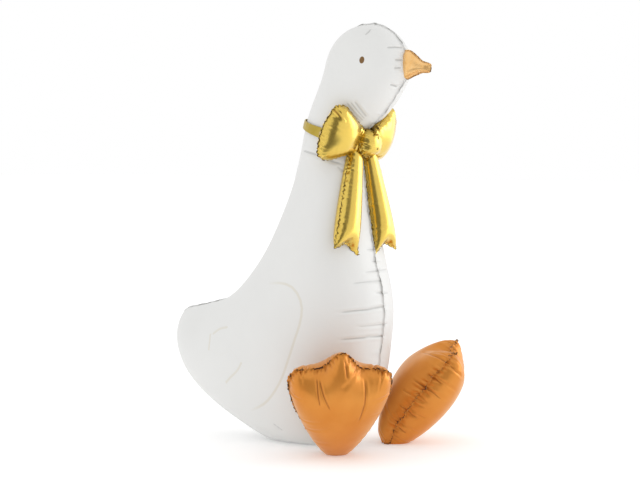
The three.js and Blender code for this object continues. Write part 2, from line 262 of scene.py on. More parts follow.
def crumple(mesh, seam, front, back, waver, edge=0.012, scallop=(0.03, 0)):
    """Puckers both sheets along the seam, and lets the seam itself wander as they pull on it.

    The seam wanders out of its plane by waver, and takes the sheets within edge along with it.
    scallop is how long the arches of its outline are, and how far they are drawn in.
    """
    flat_by_seam, pull, hollow = 0.003, 0.6, 0.7
    zigzag_length, zigzag_drift, sway_length = 0.031, 0.117, 0.083
    points, out = places(mesh), normals(mesh)
    along, apart, inward = seam.measure(points)
    start = 1 - np.exp(-apart / flat_by_seam)
    fade = np.exp(-((apart / edge) ** 2))
    each, drawn_in = scallop
    uneven = along + 0.3 * each * np.sin(along * 2 * np.pi / (4.7 * each))
    arch = 1 - np.abs(np.sin(np.pi * uneven / each))
    points = points + inward * (drawn_in * arch * fade)[:, None]
    points = points - out * (hollow * drawn_in * arch**2 * start * np.exp(-apart / edge))[:, None]
    on_front, on_back = (press(along, apart, seam.length, creases) for creases in (front, back))
    deep = np.where(points[:, 1] <= 0, on_front, on_back)
    at_seam = np.zeros_like(along)
    on_front, on_back = (press(along, at_seam, seam.length, creases) for creases in (front, back))
    shear, lean = 0.5 * on_front + 0.5 * on_back, on_front - on_back
    points = points - out * (deep * start)[:, None]
    points = points + inward * (pull * shear * fade)[:, None]
    zigzag = np.sin(along * 2 * np.pi / zigzag_length + 2.2 * np.sin(along * 2 * np.pi / zigzag_drift))
    sway = np.sin(along * 2 * np.pi / sway_length)
    wander = np.clip(0.8 * lean, -waver, waver) + waver * (0.45 * zigzag + 0.4 * sway)
    points[:, 1] += wander * fade
    put(mesh, points)
    remember(mesh, deep * start)


def seal(mesh, seam, width, thickness):
    """Draws the flat sealed edge out of the seam, and marks it for the finish."""
    bm = bmesh.new()
    bm.from_mesh(mesh)
    mark = bm.verts.layers.float.new("sealed edge")
    bm.verts.ensure_lookup_table()
    keep = set(seam.order.tolist())
    edges = [e for e in bm.edges if e.verts[0].index in keep and e.verts[1].index in keep]
    strip = bmesh.ops.bevel(bm, geom=edges, offset=thickness / 2, affect="EDGES", segments=1,
                            profile=0.5, material=-1)["faces"]
    drawn = bmesh.ops.extrude_face_region(bm, geom=strip)["geom"]
    moved = [g for g in drawn if isinstance(g, bmesh.types.BMVert)]
    along, apart, inward = seam.measure(np.array([v.co for v in moved]))
    for v, s, way in zip(moved, along, inward):
        # The seal isn't equally wide all along: it varies in waves of 103 and 36 mm.
        uneven = 1 + 0.16 * math.sin(s * 61) + 0.1 * math.sin(s * 173)
        v.co -= Vector(way) * width * uneven
        v[mark] = 1.0
    bmesh.ops.delete(bm, geom=strip, context="FACES_ONLY")
    bmesh.ops.recalc_face_normals(bm, faces=bm.faces)
    bm.to_mesh(mesh)
    bm.free()


def finish(mesh, name, material, *nodes, slot):
    """Makes a mesh a piece of the scene that stands for nodes of the CAD model."""
    mesh.shade_smooth()
    mesh.name = name
    piece = bpy.data.objects.new(name, mesh)
    scene.collection.objects.link(piece)
    mesh.materials.clear()
    mesh.materials.append(material)
    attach(piece, "root")
    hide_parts(*nodes)


def linear(code):
    """An sRGB hex colour as the linear colour a shader takes."""
    parts = [int(code[k:k + 2], 16) / 255 for k in (1, 3, 5)]
    return tuple(c / 12.92 if c <= 0.04045 else ((c + 0.055) / 1.055) ** 2.4 for c in parts) + (1.0,)


def add(tree, kind, inputs=None, **settings):
    """Adds a node. An input is another node's socket to link, or a value to set."""
    node = tree.nodes.new(kind)
    for name, value in settings.items():
        setattr(node, name, value)
    for name, value in (inputs or {}).items():
        if isinstance(value, bpy.types.NodeSocket):
            tree.links.new(value, node.inputs[name])
        else:
            node.inputs[name].default_value = value
    return node


def by_the_seam(tree, foil, sealed, crease_shade, patch, deepest=2.6):
    """Foil by its seam: the sealed edge is dark in patches, and the bottoms of the creases are darkened as
    painted shade.

    patch is the size of the patches, and deepest the depth in millimetres of the darkest creases.
    """
    where = add(tree, "ShaderNodeTexCoord").outputs["Object"]
    patches = add(tree, "ShaderNodeTexNoise", {"Vector": where, "Scale": 1 / patch, "Detail": 1.0})
    patches = add(tree, "ShaderNodeMapRange", {"Value": patches.outputs["Fac"], "From Min": 0.44,
                                               "From Max": 0.56, "To Min": 0.05})
    edge = add(tree, "ShaderNodeAttribute", attribute_name="sealed edge")
    edge = add(tree, "ShaderNodeMapRange", {"Value": edge.outputs["Fac"], "From Min": 0.02, "From Max": 0.3})
    edge = add(tree, "ShaderNodeMath", {0: edge.outputs[0], 1: patches.outputs[0]}, operation="MULTIPLY")
    # Painted shade: the bottoms of the creases are mixed towards the darker crease colour, the deeper the
    # darker.
    crease = add(tree, "ShaderNodeAttribute", attribute_name="painted crease shade")
    crease = add(tree, "ShaderNodeMapRange", {"Value": crease.outputs["Fac"], "From Min": 0.3 * deepest,
                                              "From Max": deepest, "To Max": 0.75})
    foil = add(tree, "ShaderNodeMix", {0: crease.outputs[0], 6: foil, 7: linear(crease_shade)}, data_type="RGBA")
    foil = add(tree, "ShaderNodeMix", {0: edge.outputs[0], 6: foil.outputs[2], 7: linear(sealed)},
               data_type="RGBA")
    return foil.outputs[2]


def blank(name):
    material = bpy.data.materials.new(name)
    material.use_nodes = True
    material.node_tree.nodes.clear()
    return material, material.node_tree


def on_head(degrees):
    turn = math.radians(degrees)
    return (HEAD_FORWARD + HEAD_RADIUS * math.cos(turn),
            BODY_HEIGHT - HEAD_RADIUS + HEAD_RADIUS * math.sin(turn))


def profile(*shares):
    """Points of the profile, given as shares of the body's length ahead and of its height up."""
    return [(BODY_LENGTH * ahead, BODY_HEIGHT * up) for ahead, up in shares]


press_down = -FLOOR_PRESS / BODY_HEIGHT
front_line = np.vstack([
    curve(profile((0.1, press_down), (0.209, 0.021), (0.29, 0.082), (0.34, 0.164), (0.359, 0.242),
                  (0.375, 0.315)), 14),
    curve(profile((0.375, 0.315), (0.365, 0.371), (0.333, 0.445), (0.309, 0.518), (0.29, 0.587),
                  (0.279, 0.648), (0.26, 0.717), (0.27, 0.741), (0.306, 0.758)), 20)[1:],
    curve(profile((0.306, 0.758), (0.351, 0.781), (0.4, 0.812), (0.428, 0.834), (0.443, 0.852))
          + [on_head(-8)], 8)[1:],
    curve([on_head(a) for a in (-8, 8, 25, 45, 65, 82)], 12)[1:]])
back_line = np.vstack([
    curve(profile((-0.11, press_down), (-0.212, 0.019), (-0.393, 0.071), (-0.486, 0.107),
                  (-0.558, 0.145), (-0.602, 0.185), (-0.625, 0.223), (-0.628, 0.263),
                  (-0.625, 0.299)), 14),
    curve(profile((-0.625, 0.299), (-0.474, 0.32), (-0.343, 0.342), (-0.253, 0.38), (-0.187, 0.422),
                  (-0.132, 0.464), (-0.068, 0.541), (-0.014, 0.62), (0.018, 0.7), (0.038, 0.767)), 20)[1:],
    curve(profile((0.038, 0.767), (0.068, 0.815), (0.102, 0.855)) + [on_head(180)], 8)[1:],
    curve([on_head(a) for a in (180, 160, 140, 120, 100)], 12)[1:]])
BODY_COLUMNS = 13
BODY_PUCKERS = (0.034, 0.04, 0.0022, 0.003)  # spacing, reach, depth and width
body_mesh = envelope(rows_between(front_line, back_line, BODY_COLUMNS), BODY_FULLNESS)
body_seam = Seam(body_mesh)
chance = np.random.default_rng(7)
body_front, body_back = (puckers(chance, body_seam.length, *BODY_PUCKERS) for _ in range(2))
crumple(body_mesh, body_seam, body_front, body_back, waver=0.0028)
seal(body_mesh, body_seam, SEAL_WIDTH, SEAL_THICKNESS)
body_mesh.transform(Matrix.Rotation(-math.pi / 2, 4, "Z"))


def surface_of(mesh):
    bm = bmesh.new()
    bm.from_mesh(mesh)
    tree = BVHTree.FromBMesh(bm)
    bm.free()
    return tree


def seen_from_front(tree, across_and_up):
    """The points of a surface that lie straight behind points given as (across, up)."""
    return [tree.ray_cast((x, -1, z), (0, 1, 0))[0] for x, z in across_and_up]


def fold(mesh, chains, shade_line=0.0026):
    """Presses creases into a mesh along chains, each given as (depth, width, points).

    A crease as deep as full or deeper also gets a line of painted shade along it in the colour, as deep as
    the last argument.
    """
    steps, full = 8, 0.0036
    points, out, tree = places(mesh), normals(mesh), surface_of(mesh)
    deep, line = np.zeros(len(points)), np.zeros(len(points))
    for depth, width, chain in chains:
        chain = np.array(chain, float)
        at = np.linspace(0, len(chain) - 1, steps * (len(chain) - 1) + 1)
        chain = np.column_stack([np.interp(at, range(len(chain)), chain[:, axis]) for axis in range(3)])
        chain = np.array([tree.find_nearest(p)[0] for p in chain])
        low, high = chain.min(axis=0) - 5 * width, chain.max(axis=0) + 5 * width
        near = ((points > low) & (points < high)).all(axis=1)
        some = points[near]
        length = np.linalg.norm(np.diff(chain, axis=0), axis=1)
        total = length.sum()
        best = np.full(len(some), np.inf)
        share_at = np.zeros(len(some))
        done = 0.0
        for k, piece_length in enumerate(length):
            step = chain[k + 1] - chain[k]
            share = np.clip(((some - chain[k]) @ step) / piece_length**2, 0, 1)
            gap = np.linalg.norm(some - chain[k] - share[:, None] * step, axis=1)
            closer = gap < best
            best = np.where(closer, gap, best)
            share_at = np.where(closer, (done + share * piece_length) / total, share_at)
            done += piece_length
        swell_in = np.maximum(np.sin(np.pi * share_at), 0)
        dent = depth * swell_in**0.7 * valley(best / width)
        deep[near] = np.where(np.abs(dent) > np.abs(deep[near]), dent, deep[near])
        faint = np.clip(2.5 * swell_in, 0, 1) * np.exp(-((best / (0.9 * width)) ** 2))
        line[near] = np.maximum(line[near], min(1, depth / full) * faint)
    put(mesh, points - out * deep[:, None])
    remember(mesh, shade_line * line)


# Creases of the body: a bend across the neck below the band, the throat, the face, the crown and
# the base. Those of the chest follow, drawn as they are seen from the front.
body_folds = [
    (0.0034, 0.0042, [(-0.074, -0.045, 0.817), (-0.095, -0.086, 0.81), (-0.097, -0.115, 0.804),
                     (-0.09, -0.14, 0.793), (-0.081, -0.157, 0.786), (-0.056, -0.182, 0.774)]),
    (0.0025, 0.004, [(-0.078, -0.165, 0.774), (-0.059, -0.185, 0.755)]),
    (0.003, 0.004, [(-0.091, -0.204, 0.949), (-0.038, -0.229, 0.893)]),
    (0.003, 0.003, [(-0.088, -0.215, 0.95), (-0.039, -0.2345, 0.8985)]),
    (0.003, 0.004, [(-0.086, -0.227, 0.951), (-0.04, -0.24, 0.904)]),
    (0.003, 0.003, [(-0.0905, -0.197, 0.9395), (-0.0395, -0.225, 0.8905)]),
    (0.003, 0.004, [(-0.09, -0.19, 0.93), (-0.041, -0.221, 0.888)]),
    (0.0034, 0.0035, [(-0.053, -0.308, 1.089), (-0.001, -0.33, 1.09)]),
    (0.0034, 0.0035, [(-0.043, -0.33, 1.057), (-0.016, -0.341, 1.057)]),
    (0.0034, 0.0035, [(-0.046, -0.329, 1.035), (-0.023, -0.342, 1.036)]),
    (0.004, 0.0035, [(-0.041, -0.313, 0.991), (-0.011, -0.318, 0.986)]),
    (0.003, 0.0035, [(-0.063, -0.246, 1.124), (-0.052, -0.251, 1.134), (-0.04, -0.252, 1.143)]),
    (0.003, 0.0035, [(-0.137, 0.01, 0.065), (-0.128, -0.002, 0.053), (-0.119, -0.016, 0.042)]),
]
CHEST_FOLD_WIDTH = 0.003
CHEST_FOLDS = [
    (0.00288, [(-0.056, 0.486), (0, 0.49), (0.077, 0.488)]),
    (0.00288, [(-0.095, 0.458), (-0.03, 0.462), (0.029, 0.46)]),
    (0.00368, [(-0.128, 0.382), (-0.06, 0.388), (0.028, 0.394)]),
    (0.00352, [(-0.128, 0.308), (-0.05, 0.314), (0.031, 0.311)]),
    (0.00272, [(-0.03, 0.547), (0.02, 0.545)]),
    (0.00272, [(-0.09, 0.343), (0.035, 0.346)]),
    (0.0024, [(-0.02, 0.515), (0.04, 0.512)]),
    (0.00272, [(-0.03, 0.43), (0.05, 0.425)]),
]
front_surface = surface_of(body_mesh)
for depth, chain in CHEST_FOLDS:
    body_folds.append((depth, CHEST_FOLD_WIDTH, seen_from_front(front_surface, chain)))
fold(body_mesh, body_folds)

# The faint wing drawing: how far each point is from its lines, as printed on both sides.
WING = [(0.004, 0.453), (-0.042, 0.457), (-0.079, 0.45), (-0.105, 0.425), (-0.116, 0.393), (-0.112, 0.352),
        (-0.098, 0.309), (-0.079, 0.256), (-0.047, 0.188), (0.009, 0.127), (0.081, 0.093)]
FEATHERS = [[(0.221, 0.305), (0.219, 0.28), (0.221, 0.252)],
            [(0.08, 0.234), (0.098, 0.21), (0.133, 0.184), (0.155, 0.167)],
            [(0.145, 0.325), (0.18, 0.317), (0.21, 0.3)]]


def from_line(points, line):
    """Signed distance of flat points from a line, and how far inside its ends they are."""
    count = 24
    line = curve(line, count)
    best = np.full(len(points), np.inf)
    signed = np.zeros(len(points))
    inside = np.zeros(len(points))
    for k in range(len(line) - 1):
        step = line[k + 1] - line[k]
        to = points - line[k]
        share = np.clip((to @ step) / (step @ step), 0, 1)
        gap = np.linalg.norm(to - share[:, None] * step, axis=1)
        closer = gap < best
        best = np.where(closer, gap, best)
        signed = np.where(closer, np.sign(to[:, 0] * step[1] - to[:, 1] * step[0]) * gap, signed)
        inside = np.where(closer, np.minimum(k + share, count - k - share) / count, inside)
    return signed, inside


side_view = places(body_mesh)[:, 1:]
wing, wing_fade = from_line(side_view, WING)
FAR_OFF = 1.0
feather = np.full(len(side_view), FAR_OFF)
for line in FEATHERS:
    gap, inside = from_line(side_view, line)
    gap = np.where(inside <= 0, FAR_OFF, gap)
    feather = np.where(np.abs(gap) < np.abs(feather), gap, feather)
drawn = body_mesh.attributes.new("wing drawing", "FLOAT_VECTOR", "POINT")
drawn.data.foreach_set("vector", np.column_stack([wing, wing_fade, feather]).astype(np.float32).ravel())

forward_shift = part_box("body")[0][1] + front_line[:, 0].max()
middle = (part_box("body")[0][0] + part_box("body")[1][0]) / 2
body_mesh.transform(Matrix.Translation((middle, forward_shift, 0)))
points = places(body_mesh)
points[:, 2] = np.maximum(points[:, 2], 0)
put(body_mesh, points)

# The printed eye: where its middle is along and above the floor, and half its length and height.
EYE = (forward_shift - 0.2545, 1.057)
EYE_HALF = (0.0069, 0.0095)

# Polyester foil printed white: a satin skin with a soft broad shine, grey where it is sealed flat,
# painted shade in the bottoms of its folds, and a very fine dimpling. The eye and the wing drawing are part
# of the print.
white_foil, tree = blank("white printed balloon foil")
where = add(tree, "ShaderNodeTexCoord").outputs["Object"]
split = add(tree, "ShaderNodeSeparateXYZ", {"Vector": where})
aside = add(tree, "ShaderNodeMath", {0: split.outputs["Y"], 1: EYE[0]}, operation="SUBTRACT")
aside = add(tree, "ShaderNodeMath", {0: aside.outputs[0], 1: EYE_HALF[0]}, operation="DIVIDE")
above = add(tree, "ShaderNodeMath", {0: split.outputs["Z"], 1: EYE[1]}, operation="SUBTRACT")
above = add(tree, "ShaderNodeMath", {0: above.outputs[0], 1: EYE_HALF[1]}, operation="DIVIDE")
flat = add(tree, "ShaderNodeCombineXYZ", {"X": aside.outputs[0], "Y": above.outputs[0]})
from_eye = add(tree, "ShaderNodeVectorMath", {0: flat.outputs[0]}, operation="LENGTH")
in_eye = add(tree, "ShaderNodeMapRange", {"Value": from_eye.outputs["Value"], "From Min": 1.04,
                                          "From Max": 0.94}, interpolation_type="SMOOTHSTEP")
tone = add(tree, "ShaderNodeTexNoise", {"Vector": where, "Scale": 6.0, "Detail": 3.0})
white = add(tree, "ShaderNodeMix", {0: tone.outputs["Fac"], 6: linear("#dcdcda"), 7: linear("#e2e2e0")},
            data_type="RGBA")
drawing = add(tree, "ShaderNodeAttribute", attribute_name="wing drawing")
drawing = add(tree, "ShaderNodeSeparateXYZ", {"Vector": drawing.outputs["Vector"]})
off_wing = add(tree, "ShaderNodeMath", {0: drawing.outputs["X"]}, operation="ABSOLUTE")
wing_line = add(tree, "ShaderNodeMapRange", {"Value": off_wing.outputs[0], "From Min": 0.005,
                                             "From Max": 0.0015, "To Max": 0.55},
                interpolation_type="SMOOTHSTEP")
wing_end = add(tree, "ShaderNodeMapRange", {"Value": drawing.outputs["Y"], "From Min": 0.0,
                                            "From Max": 0.12})
wing_line = add(tree, "ShaderNodeMath", {0: wing_line.outputs[0], 1: wing_end.outputs[0]},
                operation="MULTIPLY")
off_feather = add(tree, "ShaderNodeMath", {0: drawing.outputs["Z"]}, operation="ABSOLUTE")
feather_line = add(tree, "ShaderNodeMapRange", {"Value": off_feather.outputs[0], "From Min": 0.005,
                                                "From Max": 0.0015, "To Max": 0.5},
                   interpolation_type="SMOOTHSTEP")
line = add(tree, "ShaderNodeMath", {0: wing_line.outputs[0], 1: feather_line.outputs[0]},
           operation="MAXIMUM")
printed = add(tree, "ShaderNodeMix", {0: line.outputs[0], 6: white.outputs[2], 7: linear("#d3cdbd")},
              data_type="RGBA")
# Grey sealed edge in patches, and painted shade darkening the creases.
by_seam = by_the_seam(tree, printed.outputs[2], "#b4b4b1", "#a6a6a3", 0.026)
colour = add(tree, "ShaderNodeMix", {0: in_eye.outputs[0], 6: by_seam, 7: linear("#785628")},
             data_type="RGBA")
grain = add(tree, "ShaderNodeTexNoise", {"Vector": where, "Scale": 35.0, "Detail": 6.0, "Roughness": 0.55})
bump = add(tree, "ShaderNodeBump", {"Height": grain.outputs["Fac"], "Strength": 0.25, "Distance": 0.002})
shader = add(tree, "ShaderNodeBsdfPrincipled", {"Base Color": colour.outputs[2], "Roughness": 0.42,
                                                "Normal": bump.outputs[0]})
add(tree, "ShaderNodeOutputMaterial", {"Surface": shader.outputs[0]})
finish(body_mesh, "goose_body", white_foil, "body", slot="white_foil")


# Beak. A small cone of pearly pale orange foil with a flat sealed tab at its tip. It is stuck over
# the seam of the face.
BEAK_LENGTH = 0.071
BEAK_HEIGHT = 0.076
BEAK_TAB = 0.02
BEAK_RISE = 6
BEAK_DROOP = 8
BEAK_ROOT = 0.02
BEAK_SEAL = 0.003
BEAK_PUCKERS = (0.014, 0.016, 0.0012, 0.002)


def pad(sides, crest, fullness, rows, columns):
    """A sealed pad with mirrored sides, and a far edge that rises or dips by crest."""
    right = curve(sides, rows)
    left = right * (-1, 1)
    grid = rows_between(right, left, columns)
    share = (np.arange(rows + 1) / rows) ** 2.5
    grid[:, :, 1] += share[:, None] * crest(grid[:, :, 0])
    return envelope(grid, fullness)


def clear_of(mesh, tree):
    """Moves points that would be inside another piece out to its surface."""
    gap, reach = 0.0003, 0.08
    for v in mesh.vertices:
        near, way, _, _ = tree.find_nearest(v.co, reach)
        if near is not None and (v.co - near).dot(way) < gap:
            v.co = near + way * gap
    mesh.update()


body_surface = surface_of(body_mesh)
half, cone = BEAK_HEIGHT / 2, BEAK_LENGTH - BEAK_TAB
beak_mesh = pad(
    [(0.9 * half, -BEAK_ROOT), (half, 0), (0.66 * half, 0.5 * cone), (0.33 * half, 0.94 * cone),
     (0.32 * half, cone + 0.4 * BEAK_TAB), (0.24 * half, BEAK_LENGTH)],
    lambda across: 0.1 * BEAK_TAB * (1 - (across / (0.3 * half)) ** 2), 0.9, 10, 8)
beak_seam = Seam(beak_mesh)
beak_front, beak_back = (puckers(chance, beak_seam.length, *BEAK_PUCKERS) for _ in range(2))
crumple(beak_mesh, beak_seam, beak_front, beak_back, waver=0.0006, edge=0.006)
seal(beak_mesh, beak_seam, BEAK_SEAL, SEAL_THICKNESS)
beak_at = on_head(BEAK_RISE)
beak_mesh.transform(Matrix.Translation((middle, forward_shift - beak_at[0], beak_at[1]))
                    @ Matrix.Rotation(math.radians(90 + BEAK_DROOP), 4, "X")
                    @ Matrix.Rotation(math.pi / 2, 4, "Z"))

# The beak's foil is a paler pearl orange, with a broad soft shine, brown where it is sealed, and painted
# shade in its creases.
beak_foil, tree = blank("pearl pale orange foil")
where = add(tree, "ShaderNodeTexCoord").outputs["Object"]
grain = add(tree, "ShaderNodeTexNoise", {"Vector": where, "Scale": 90.0, "Detail": 5.0})
bump = add(tree, "ShaderNodeBump", {"Height": grain.outputs["Fac"], "Strength": 0.3, "Distance": 0.001})
tone = add(tree, "ShaderNodeMix", {0: grain.outputs["Fac"], 6: linear("#efb464"), 7: linear("#f8d196")},
           data_type="RGBA")
shader = add(tree, "ShaderNodeBsdfPrincipled", {
    "Base Color": by_the_seam(tree, tone.outputs[2], "#8f6020", "#b07a30", 0.008), "Metallic": 0.6,
    "Roughness": 0.3, "Normal": bump.outputs[0]})
add(tree, "ShaderNodeOutputMaterial", {"Surface": shader.outputs[0]})
finish(beak_mesh, "goose_beak", beak_foil, "beak", slot="beak_foil")


# Feet. Two pads of satin orange foil, each sealed all round, with a heel, two side toes and a
# middle toe. They stand on their heels and lean on the front of the body.
FOOT_LENGTH = 0.366
FOOT_WIDTH = 0.27
FOOT_TOE_RISE = 0.059
FOOT_LEAN = {-1: 35, 1: 38}
FOOT_ROLL = {-1: 0, 1: 6}
FOOT_SPLAY = 49
FOOT_HEEL_AHEAD = {-1: 0.244 * BODY_LENGTH, 1: 0.285 * BODY_LENGTH}
FOOT_HEELS_APART = 0.194
FOOT_SEAM_TURN = {-1: 0, 1: 24}
FOOT_SEAL = 0.0056
FOOT_PUCKERS = (0.017, 0.03, 0.0042, 0.0026)
FOOT_LONG_PUCKERS = (0.05, 0.1, 0.0046, 0.0036)
FOOT_SCALLOP = (0.017, 0.0022)

# Creases of both feet between the toes, as (across, up) on the flat foot seen from the front.
FOOT_FOLD_DEPTH, FOOT_FOLD_WIDTH = 0.0036, 0.0026
FOOT_FOLDS = [[(-0.058, 0.301), (-0.047, 0.27), (-0.028, 0.232)],
              [(-0.064, 0.3), (-0.062, 0.27), (-0.056, 0.24)],
              [(0.058, 0.301), (0.061, 0.25), (0.045, 0.19)],
              [(0.006, 0.354), (0.013, 0.315)]]

# Creases of the left foot alone, where it stands: across its turned seam and the sheets beside it.
LEFT_FOOT_FOLD_WIDTH = 0.0028
LEFT_FOOT_FOLDS = [
    (0.0036, [(0.099, -0.304, 0.185), (0.102, -0.352, 0.161), (0.129, -0.386, 0.129)]),
    (0.0036, [(0.11, -0.347, 0.202), (0.113, -0.369, 0.189), (0.119, -0.391, 0.175)]),
    (0.003, [(0.181, -0.276, 0.252), (0.146, -0.339, 0.249), (0.139, -0.379, 0.239), (0.142, -0.412, 0.217),
             (0.17, -0.42, 0.187)]),
    (0.003, [(0.076, -0.272, 0.116), (0.082, -0.302, 0.098), (0.096, -0.328, 0.076)]),
    (0.0036, [(0.069, -0.271, 0.055), (0.089, -0.293, 0.033)]),
    (0.0036, [(0.234, -0.338, 0.266), (0.247, -0.358, 0.251)]),
    (0.0024, [(0.089, -0.319, 0.139), (0.099, -0.35, 0.122)]),
    (0.0024, [(0.088, -0.278, 0.155), (0.087, -0.312, 0.141)]),
    (0.0024, [(0.089, -0.324, 0.091), (0.112, -0.344, 0.078)])]

# The feet's foil is a deeper orange with a pearl pigment: half metallic, satin with a pale sheen,
# dark brown where it is sealed, and darkened with painted shade where it is folded sharply.
orange_foil, tree = blank("satin orange balloon foil")
where = add(tree, "ShaderNodeTexCoord").outputs["Object"]
tone = add(tree, "ShaderNodeTexNoise", {"Vector": where, "Scale": 14.0, "Detail": 4.0})
orange = add(tree, "ShaderNodeMix", {0: tone.outputs["Fac"], 6: linear("#cc7a22"), 7: linear("#e09640")},
             data_type="RGBA")
grain = add(tree, "ShaderNodeTexNoise", {"Vector": where, "Scale": 45.0, "Detail": 6.0, "Roughness": 0.6})
bump = add(tree, "ShaderNodeBump", {"Height": grain.outputs["Fac"], "Strength": 0.3, "Distance": 0.002})
shader = add(tree, "ShaderNodeBsdfPrincipled", {
    "Base Color": by_the_seam(tree, orange.outputs[2], "#52290c", "#8a460e", 0.012, 8.0), "Metallic": 0.5,
    "Roughness": 0.36, "Sheen Weight": 0.5, "Sheen Roughness": 0.35, "Sheen Tint": linear("#ffdca6"),
    "Normal": bump.outputs[0]})
add(tree, "ShaderNodeOutputMaterial", {"Surface": shader.outputs[0]})


def toe(across):
    """How far the middle toe rises above the webs at each place across a foot."""
    share = np.abs(across) / (0.42 * FOOT_WIDTH / 2)
    return np.where(share < 1, FOOT_TOE_RISE * (0.5 + 0.5 * np.cos(np.pi * share)), 0)


def slide_seam(mesh, degrees):
    """Turns the seam of a pad's -X side round towards its back, over the same rounded form."""
    count, heel, least = 24, 0.06, 0.001
    points = places(mesh)
    levels = np.linspace(points[:, 2].min(), points[:, 2].max(), count)
    row = np.clip(np.searchsorted(levels, points[:, 2]), 1, count - 1)
    wide, thick = (np.array([np.abs(points[row == k, axis]).max(initial=least) for k in range(1, count)])
                   for axis in (0, 1))
    middles = (levels[1:] + levels[:-1]) / 2
    wide, thick = np.interp(points[:, 2], middles, wide), np.interp(points[:, 2], middles, thick)
    across, through = -points[:, 0] / wide, points[:, 1] / thick
    at, out = np.arctan2(through, across), np.hypot(through, across)
    rise = np.clip((points[:, 2] - levels[0]) / heel, 0, 1)
    at = at + rise * math.radians(degrees) * np.maximum(0, 1 - (2 * at / np.pi) ** 2)
    points[:, 0], points[:, 1] = -wide * out * np.cos(at), thick * out * np.sin(at)
    put(mesh, points)


for side, name in ((-1, "right_foot"), (1, "left_foot")):
    half, shoulder = FOOT_WIDTH / 2, FOOT_LENGTH - FOOT_TOE_RISE
    foot_mesh = pad(
        [(0.11 * half, 0), (0.31 * half, 0.1 * shoulder), (0.55 * half, 0.28 * shoulder),
         (0.75 * half, 0.47 * shoulder), (0.94 * half, 0.7 * shoulder), (half, 0.86 * shoulder),
         (0.97 * half, 0.94 * shoulder), (0.88 * half, 0.988 * shoulder), (0.78 * half, shoulder)],
        toe, 0.94, 18, 18)
    foot_seam = Seam(foot_mesh)
    creases = [np.vstack([puckers(chance, foot_seam.length, *FOOT_PUCKERS),
                          puckers(chance, foot_seam.length, *FOOT_LONG_PUCKERS, slant=0.12)])
               for _ in range(2)]
    crumple(foot_mesh, foot_seam, creases[0], creases[1], waver=0.0036, scallop=FOOT_SCALLOP)
    seal(foot_mesh, foot_seam, FOOT_SEAL, SEAL_THICKNESS)
    front = surface_of(foot_mesh)
    fold(foot_mesh, [(FOOT_FOLD_DEPTH, FOOT_FOLD_WIDTH, seen_from_front(front, chain))
                     for chain in FOOT_FOLDS], shade_line=0.008)
    slide_seam(foot_mesh, FOOT_SEAM_TURN[side])
    foot_mesh.transform(
        Matrix.Translation((middle + side * FOOT_HEELS_APART / 2, forward_shift - FOOT_HEEL_AHEAD[side], 0))
        @ Matrix.Rotation(side * math.radians(FOOT_SPLAY), 4, "Z")
        @ Matrix.Rotation(math.radians(FOOT_LEAN[side]), 4, "X")
        @ Matrix.Rotation(math.radians(FOOT_ROLL[side]), 4, "Y"))
    points = places(foot_mesh)
    points[:, 2] = np.maximum(points[:, 2] - points[:, 2].min() - FLOOR_PRESS, 0)
    put(foot_mesh, points)
    clear_of(foot_mesh, body_surface)
    if side == 1:
        fold(foot_mesh, [(depth, LEFT_FOOT_FOLD_WIDTH, chain) for depth, chain in LEFT_FOOT_FOLDS],
             shade_line=0.007)
    finish(foot_mesh, "goose_" + name, orange_foil, name, slot="orange_foil")


# Bow. One gold foil envelope with two loops, a knot and two forked tails. Welds across it make the
# creases round the knot.
BOW_FORWARD = 0.299 * BODY_LENGTH
BOW_UP = 0.722 * BODY_HEIGHT
KNOT_SIZE = 0.08
LOOP_LENGTH = 0.163
LOOP_HEIGHT = 0.157
LOOP_INNER_HEIGHT = 0.07
LOOP_PINCH = 0.4
LOOP_PINCH_REACH = 0.09
LOOP_SWEEP = {-1: math.radians(16), 1: math.radians(21)}
LOOP_PITCH = math.radians(18)
LOOP_RAISE = math.radians(13)
LOOP_PUSHED = {-1: (0, 0, 0), 1: (-0.026, -0.03, 0)}
TAIL_LENGTH = 0.276
TAIL_TOP_WIDTH = 0.044
TAIL_ROOT = 0.024
TAIL_END_WIDTH = 0.096
TAIL_NOTCH = 0.024
TAIL_APART = 0.063
TAIL_SPLAY = {-1: math.radians(15), 1: math.radians(5)}
TAIL_SLOPE = {-1: math.radians(4), 1: math.radians(9)}
TAIL_TURN = math.radians(5)
BOW_SEAL = 0.003
BOW_SCALLOP = (0.015, 0.0034)

# Metallised polyester foil dyed gold: a true metal shine, a little blurred by the soft film, so that
# it shows broad light and dark bands.
gold_foil, tree = blank("gold metallised foil")
where = add(tree, "ShaderNodeTexCoord").outputs["Object"]
tone = add(tree, "ShaderNodeTexNoise", {"Vector": where, "Scale": 20.0, "Detail": 4.0})
gold = add(tree, "ShaderNodeMix", {0: tone.outputs["Fac"], 6: linear("#dcb84c"), 7: linear("#e6c962")},
           data_type="RGBA")
grain = add(tree, "ShaderNodeTexNoise", {"Vector": where, "Scale": 60.0, "Detail": 5.0, "Roughness": 0.55})
bump = add(tree, "ShaderNodeBump", {"Height": grain.outputs["Fac"], "Strength": 0.3, "Distance": 0.0015})
# Dark brown where it is sealed, and painted shade darkening its creases.
shader = add(tree, "ShaderNodeBsdfPrincipled", {
    "Base Color": by_the_seam(tree, gold.outputs[2], "#5c3d0c", "#a87c24", 0.008), "Metallic": 1.0,
    "Roughness": 0.27, "Coat Weight": 0.5, "Coat Roughness": 0.25, "Normal": bump.outputs[0]})
add(tree, "ShaderNodeOutputMaterial", {"Surface": shader.outputs[0]})


def along_frame(start, along, face):
    """A placing whose Z runs along `along` and whose Y is as near to `face` as it can be."""
    z = Vector(along).normalized()
    x = Vector(face).cross(z).normalized()
    y = z.cross(x)
    turn = Matrix((x, y, z)).transposed().to_4x4()
    return Matrix.Translation(start) @ turn


bow_centre = Vector((middle, forward_shift - BOW_FORWARD, BOW_UP))
bow_parts = []


